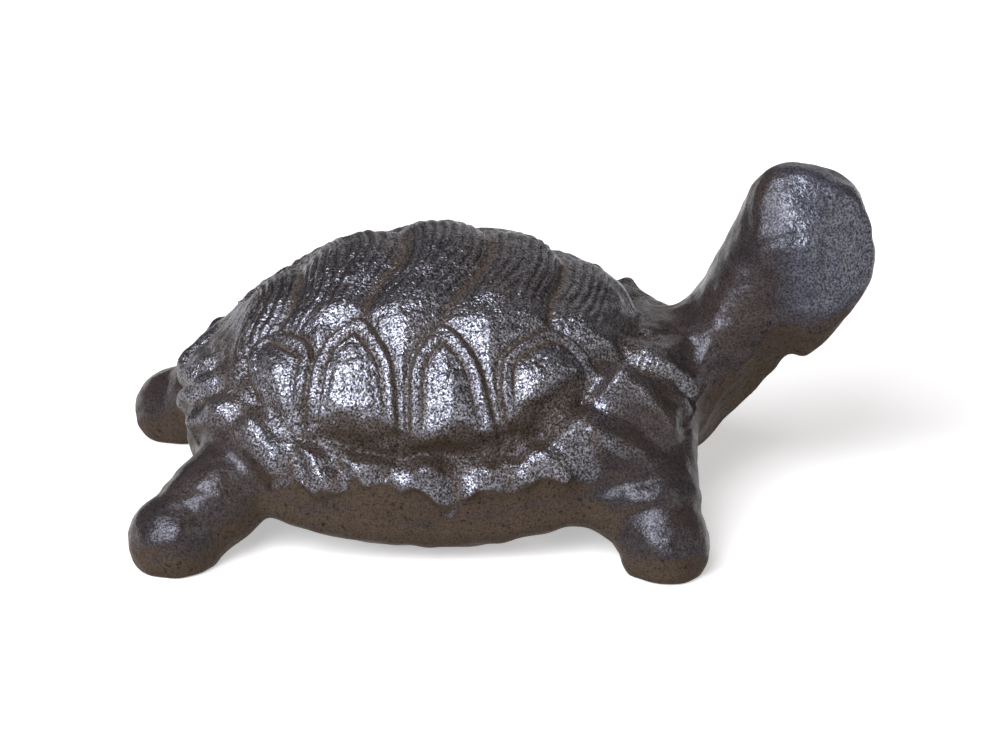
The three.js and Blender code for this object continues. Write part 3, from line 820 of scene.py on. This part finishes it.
def carve(points, normals, outside):
    """Carves scutes where the shell itself is the surface, folds and hollows, and the uneven skin."""
    forms = form_fields(points)
    limbs = np.minimum.reduce([field for name, field in forms.items() if name not in WALLS])
    bare = ease(limbs - forms["carapace"], BARE_FROM, BARE_OVER) * outside
    stand, places = scute_carving(points)
    uneven = LUMP_DEPTH * ripple(points, LUMP_PITCH, SEEDS["lumps"])
    uneven += DENT_DEPTH * ripple(points, DENT_PITCH, SEEDS["dents"])
    folds = front_folds(points)
    stand = stand * bare + outside * (uneven + folds - eye_hollow(points))
    head_forward, head_up = HEAD_FROM
    forward = points[:, 0] - NECK_START_X
    places["bare"] = bare
    places["head"] = ease(forward, head_forward, HEAD_FADE) * ease(points[:, 2], head_up, HEAD_FADE)
    places["folds"] = smooth(folds / FOLD_ROUGH_HEIGHT)
    return points + normals * stand[:, None], places


def paint_layers(mesh, places):
    """Where the iron is rough or polished, brown in its seams, painted with warm floor bounce below, painted
    sky blue on the head and painted shade in its grooves, by place and by the way it faces.
    """
    normals = np.empty(3 * len(mesh.vertices), np.float32)
    mesh.vertex_normals.foreach_get("vector", normals)
    facing_up = normals[2::3]
    shell = places["shell"]
    bare = places["bare"]
    under = ease(-facing_up, UNDER_FROM, UNDER_OVER)
    # painted warm floor bounce where slopes face down
    lower = np.maximum(under, (1 - shell) * ease(-facing_up, -LOWER_FROM, LOWER_OVER))
    limb = LIMB_ROUGHNESS * np.maximum(shell, ease(facing_up, LIMB_FROM, LIMB_OVER))
    rough = limb + (1 - limb) * shell * bare
    rough = np.maximum(rough, HEAD_ROUGHNESS * places["head"])
    rough = np.maximum(rough, FOLD_ROUGHNESS * places["folds"])
    upper = ease(facing_up, POLISH_FROM, POLISH_TO - POLISH_FROM)
    return {
        "seam_brown_painted_shade_and_bounce": np.maximum(places["recess"] * bare, UNDER_BOUNCE_TINT * lower),
        "rough": rough * (1 - under),
        "polish": np.maximum(upper, MARGINAL_POLISH * places["marginal"] * bare),
        "painted_groove_shade": places["painted_groove_shade"] * bare,
        # painted reflection: the head, except its underside, is tinted blue-grey for the sky it reflects
        "painted_sky_blue": places["head"] * (1 - under),
    }


def casting_mesh(node):
    """The carved skin of one casting, with its paint layers."""
    low, high = box_mm(node)
    margin = SKIN_PAST_BOX + SKIN_STEP

    def field(points):
        past_box = np.maximum(low - points, points - high).max(axis=1) - SKIN_PAST_BOX
        return np.maximum(casting_field(points, node), past_box)

    points, quads = main_island(*skin_of(field, low - margin, high + margin, SKIN_STEP))
    points = settle(points, field, 2, SKIN_STEP / 2)
    points, quads = split_quads(points, quads)
    points = settle(points, field, 2, SKIN_STEP / 3)

    def whole(p):
        return figure_field(form_fields(p))

    normals = slope_of(whole, points)
    normals /= np.maximum(np.linalg.norm(normals, axis=1), LEAST_SLOPE)[:, None]
    outside = smooth(whole(points) + SKIN_DEPTH)
    points, places = carve(points, normals, outside)
    mesh = bpy.data.meshes.new(node)
    mesh.from_pydata((points * MM).tolist(), [], quads.tolist())
    mesh.polygons.foreach_set("use_smooth", np.ones(len(quads), bool))
    for name, values in paint_layers(mesh, places).items():
        mesh.attributes.new(name, "FLOAT", "POINT").data.foreach_set("value", values.astype(np.float32))
    return mesh


class Nodes:
    """Short ways to add shader nodes."""

    def __init__(self, name):
        self.material = bpy.data.materials.new(name)
        self.material.use_nodes = True
        self.tree = self.material.node_tree
        self.shader = self.tree.nodes["Principled BSDF"]
        self.place = self.add("ShaderNodeTexCoord").outputs["Object"]

    def add(self, kind, **settings):
        node = self.tree.nodes.new(kind)
        for key, value in settings.items():
            setattr(node, key, value)
        return node

    def link(self, source, target):
        self.tree.links.new(source, target)

    def noise(self, scale, detail=3.0, roughness=0.5):
        node = self.add("ShaderNodeTexNoise")
        node.inputs["Scale"].default_value = scale
        node.inputs["Detail"].default_value = detail
        node.inputs["Roughness"].default_value = roughness
        self.link(self.place, node.inputs["Vector"])
        return node.outputs["Fac"]

    def layer(self, name):
        return self.add("ShaderNodeAttribute", attribute_name=name).outputs["Fac"]

    def span(self, value, low, high, to_low, to_high):
        node = self.add("ShaderNodeMapRange")
        for name, number in zip(("From Min", "From Max", "To Min", "To Max"), (low, high, to_low, to_high)):
            node.inputs[name].default_value = number
        self.link(value, node.inputs["Value"])
        return node.outputs["Result"]

    def blend(self, share, first, second):
        node = self.add("ShaderNodeMix", data_type="RGBA")
        self.link(share, node.inputs["Factor"])
        for socket, colour in zip((node.inputs[6], node.inputs[7]), (first, second)):
            if isinstance(colour, tuple):
                socket.default_value = (*colour, 1)
            else:
                self.link(colour, socket)
        return node.outputs[2]

    def math(self, operation, first, second):
        node = self.add("ShaderNodeMath", operation=operation)
        self.link(first, node.inputs[0])
        self.link(second, node.inputs[1])
        return node.outputs["Value"]

    def mix(self, share, first, second):
        node = self.add("ShaderNodeMix", data_type="FLOAT")
        for socket, value in zip((node.inputs[0], node.inputs[2], node.inputs[3]), (share, first, second)):
            self.link(value, socket)
        return node.outputs[0]

    def larger(self, first, second):
        return self.math("MAXIMUM", first, second)

    def times(self, first, second):
        return self.math("MULTIPLY", first, second)

    def bump(self, height, strength, distance, below=None):
        node = self.add("ShaderNodeBump")
        if isinstance(strength, float):
            node.inputs["Strength"].default_value = strength
        else:
            self.link(strength, node.inputs["Strength"])
        node.inputs["Distance"].default_value = distance
        self.link(height, node.inputs["Height"])
        if below is not None:
            self.link(below, node.inputs["Normal"])
        return node.outputs["Normal"]


def iron_colour(nodes, grains, rough):
    """Charcoal and umber patches, painted sky reflection in blue-grey on the head, painted floor bounce in
    tan below, tan in the seams, dark grain pits, painted shade in the grooves and along the waist, and
    painted glints on bright grains.
    """
    charcoal = (0.022, 0.017, 0.017)
    umber = (0.042, 0.03, 0.025)
    # painted reflection of the blue sky on the head
    sky_reflection_blue = (0.046, 0.048, 0.065)
    # painted warm floor bounce on slopes that face down; also the brown tint in seams and channels
    bounce_and_seam_tan = (0.074, 0.053, 0.037)
    # near black for grain pits, and painted shade in growth grooves and along the waist
    pit_and_shade_dark = (0.007, 0.005, 0.005)
    # painted glint colour on bright grains
    painted_glint = (0.1, 0.095, 0.1)
    patches = nodes.span(nodes.noise(70, 4), 0.35, 0.65, 0, 1)
    colour = nodes.blend(patches, charcoal, umber)
    colour = nodes.blend(nodes.span(nodes.layer("painted_sky_blue"), 0, 1, 0, 0.8), colour, sky_reflection_blue)
    colour = nodes.blend(nodes.span(nodes.layer("seam_brown_painted_shade_and_bounce"), 0.1, 0.9, 0, 0.85), colour, bounce_and_seam_tan)
    fine_pits = nodes.times(nodes.span(grains, 0.32, 0.54, 0.8, 0), nodes.span(rough, 0, 1, 0.6, 1))
    wide_pits = nodes.span(nodes.noise(900, 2, 0.6), 0.3, 0.42, 0.85, 0)
    colour = nodes.blend(nodes.larger(fine_pits, wide_pits), colour, pit_and_shade_dark)
    # painted glints: bright grains on the rough iron are coloured light
    painted_glints = nodes.times(nodes.span(grains, 0.52, 0.68, 0, 0.3), nodes.span(rough, 0, 1, 0.3, 1))
    colour = nodes.blend(painted_glints, colour, painted_glint)
    # painted shade in the growth grooves and along the waist
    return nodes.blend(nodes.span(nodes.layer("painted_groove_shade"), 0.2, 1, 0, 0.75), colour, pit_and_shade_dark)


def iron_relief(nodes, grains, rough):
    """Sand grain in three sizes, as noise and depth in metres."""
    strength = nodes.span(rough, 0, 1, 0.35, 1.0)
    relief = nodes.bump(nodes.noise(420, 3, 0.6), strength, 0.0006)
    relief = nodes.bump(nodes.noise(950, 2, 0.6), strength, 0.0003, relief)
    return nodes.bump(grains, strength, 0.00012, relief)


def iron_gloss(nodes, grains, rough):
    """Grains glint on rough iron, less so in brown seams, painted shade and painted bounce, and on slopes
    that face down.
    """
    rough_gloss = nodes.span(grains, 0.42, 0.62, 0.08, 1.0)
    smooth_gloss = nodes.span(grains, 0.35, 0.65, 0.04, 0.1)
    gloss = nodes.mix(rough, smooth_gloss, rough_gloss)
    gloss = nodes.times(gloss, nodes.span(nodes.layer("seam_brown_painted_shade_and_bounce"), 0.1, 0.8, 1, 0.2))
    gloss = nodes.times(gloss, nodes.span(nodes.layer("polish"), 0, 1, 0.2, 1))
    return nodes.times(gloss, nodes.span(nodes.layer("painted_groove_shade"), 0.2, 1, 1, 0.3))


def iron_material():
    nodes = Nodes("sand_cast_iron")
    inputs = nodes.shader.inputs
    grains = nodes.noise(2000, 2, 0.6)
    rough = nodes.layer("rough")
    nodes.link(iron_colour(nodes, grains, rough), inputs["Base Color"])
    nodes.link(nodes.span(nodes.noise(160, 3), 0.3, 0.7, 0.27, 0.42), inputs["Roughness"])
    nodes.link(iron_relief(nodes, grains, rough), inputs["Normal"])
    nodes.link(iron_gloss(nodes, grains, rough), inputs["Specular IOR Level"])
    inputs["IOR"].default_value = 2.5
    inputs["Specular Tint"].default_value = (0.84, 0.87, 1.0, 1)
    return nodes.material


def steel_material():
    nodes = Nodes("plain_steel")
    inputs = nodes.shader.inputs
    dark_steel = (0.3, 0.3, 0.31)
    light_steel = (0.42, 0.42, 0.43)
    patches = nodes.span(nodes.noise(300, 4), 0.3, 0.7, 0, 1)
    nodes.link(nodes.blend(patches, dark_steel, light_steel), inputs["Base Color"])
    nodes.link(nodes.span(nodes.noise(900, 2), 0.3, 0.7, 0.28, 0.42), inputs["Roughness"])
    nodes.link(nodes.bump(nodes.noise(2500, 2), 0.3, 0.0001), inputs["Normal"])
    inputs["Metallic"].default_value = 1
    return nodes.material


def add_castings():
    iron = iron_material()
    for node in ("carapace", "underbody", "head_and_neck", *(f"{corner}_leg" for corner in CORNERS)):
        piece = bpy.data.objects.new(f"cast_{node}", casting_mesh(node))
        piece.data.materials.append(iron)
        bpy.context.scene.collection.objects.link(piece)
        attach(piece, "root")
        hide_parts(node)


def dress_fasteners():
    steel = steel_material()
    for name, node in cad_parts.items():
        if "screw" in name or "washer" in name:
            for slot in node.material_slots:
                slot.material = steel


# The stage: a pale floor that the camera sees as white, with the figure's soft shadow on it
FLOOR_SIZE = 6.0
FLOOR_COLOUR = (0.84, 0.81, 0.78)
NEAR_GLOW = 0.45
FAR_GLOW = 1.0
SHADOW_REACH = 0.16
WHITE_REACH = 0.3


def add_floor():
    half = FLOOR_SIZE / 2
    mesh = bpy.data.meshes.new("floor")
    corners = [(-half, -half, 0), (half, -half, 0), (half, half, 0), (-half, half, 0)]
    mesh.from_pydata(corners, [], [(0, 1, 2, 3)])
    floor = bpy.data.objects.new("floor", mesh)
    bpy.context.scene.collection.objects.link(floor)
    nodes = Nodes("pale_floor")
    tint = nodes.blend(nodes.noise(3, 2), FLOOR_COLOUR, tuple(0.98 * c for c in FLOOR_COLOUR))
    nodes.link(tint, nodes.shader.inputs["Base Color"])
    nodes.shader.inputs["Roughness"].default_value = 0.9
    nodes.shader.inputs["Specular IOR Level"].default_value = 0.1
    away = nodes.add("ShaderNodeVectorMath", operation="LENGTH")
    nodes.link(nodes.place, away.inputs[0])
    glow = nodes.span(away.outputs["Value"], SHADOW_REACH, WHITE_REACH, NEAR_GLOW, FAR_GLOW)
    path = nodes.add("ShaderNodeLightPath").outputs
    sharp = nodes.larger(path["Is Camera Ray"], path["Is Glossy Ray"])
    sharp = nodes.larger(sharp, path["Is Transmission Ray"])
    nodes.shader.inputs["Emission Color"].default_value = (1, 1, 1, 1)
    nodes.link(nodes.times(sharp, glow), nodes.shader.inputs["Emission Strength"])
    mesh.materials.append(nodes.material)


def add_world():
    world = bpy.data.worlds.new("studio")
    world.use_nodes = True
    room = world.node_tree.nodes["Background"]
    room.inputs["Color"].default_value = (0.7, 0.68, 0.68, 1)
    room.inputs["Strength"].default_value = 0.12
    bpy.context.scene.world = world


def add_lamp(name, place, aim, width, height, watts, colour):
    lamp = bpy.data.lights.new(name, "AREA")
    lamp.shape = "RECTANGLE"
    lamp.size = width
    lamp.size_y = height
    lamp.energy = watts
    lamp.color = colour
    holder = bpy.data.objects.new(name, lamp)
    holder.location = place
    holder.rotation_euler = (Vector(aim) - Vector(place)).to_track_quat("-Z", "Y").to_euler()
    bpy.context.scene.collection.objects.link(holder)


def add_lamps():
    middle = (0, 0, 0.035)
    add_lamp("sky", (-0.42, -0.6, 0.7), middle, 0.7, 0.7, 17.5, (0.91, 0.93, 1.0))
    add_lamp("back", (0.25, 0.9, 0.55), middle, 0.7, 0.7, 1.2, (1.0, 0.98, 0.95))
    add_lamp("fill", (0.7, -0.6, 0.35), middle, 0.5, 0.5, 1.5, (1.0, 0.96, 0.9))


# The camera stands where the photograph was taken from
CAMERA_AZIMUTH = math.radians(-5)
CAMERA_ELEVATION = math.radians(23)
CAMERA_ROLL = math.radians(1.5)
CAMERA_DISTANCE = 0.8
CAMERA_AIM = Vector((0, 0, 0.0305))
PICTURE_WIDTH_AT_AIM = 0.241
SENSOR_WIDTH = 36


def add_camera():
    camera = bpy.data.cameras.new("camera")
    camera.sensor_width = SENSOR_WIDTH
    camera.lens = SENSOR_WIDTH * CAMERA_DISTANCE / PICTURE_WIDTH_AT_AIM
    holder = bpy.data.objects.new("camera", camera)
    a, e = CAMERA_AZIMUTH, CAMERA_ELEVATION
    back = Vector((math.sin(a) * math.cos(e), -math.cos(a) * math.cos(e), math.sin(e)))
    right = Vector((math.cos(a), math.sin(a), 0))
    up = back.cross(right)
    c, s = math.cos(CAMERA_ROLL), math.sin(CAMERA_ROLL)
    turned = Matrix((c * right + s * up, c * up - s * right, back)).transposed()
    holder.matrix_world = Matrix.Translation(CAMERA_AIM + CAMERA_DISTANCE * back) @ turned.to_4x4()
    bpy.context.scene.collection.objects.link(holder)
    bpy.context.scene.camera = holder


add_castings()
dress_fasteners()
add_floor()
add_world()
add_lamps()
add_camera()
bpy.context.scene.view_settings.view_transform = "Standard"
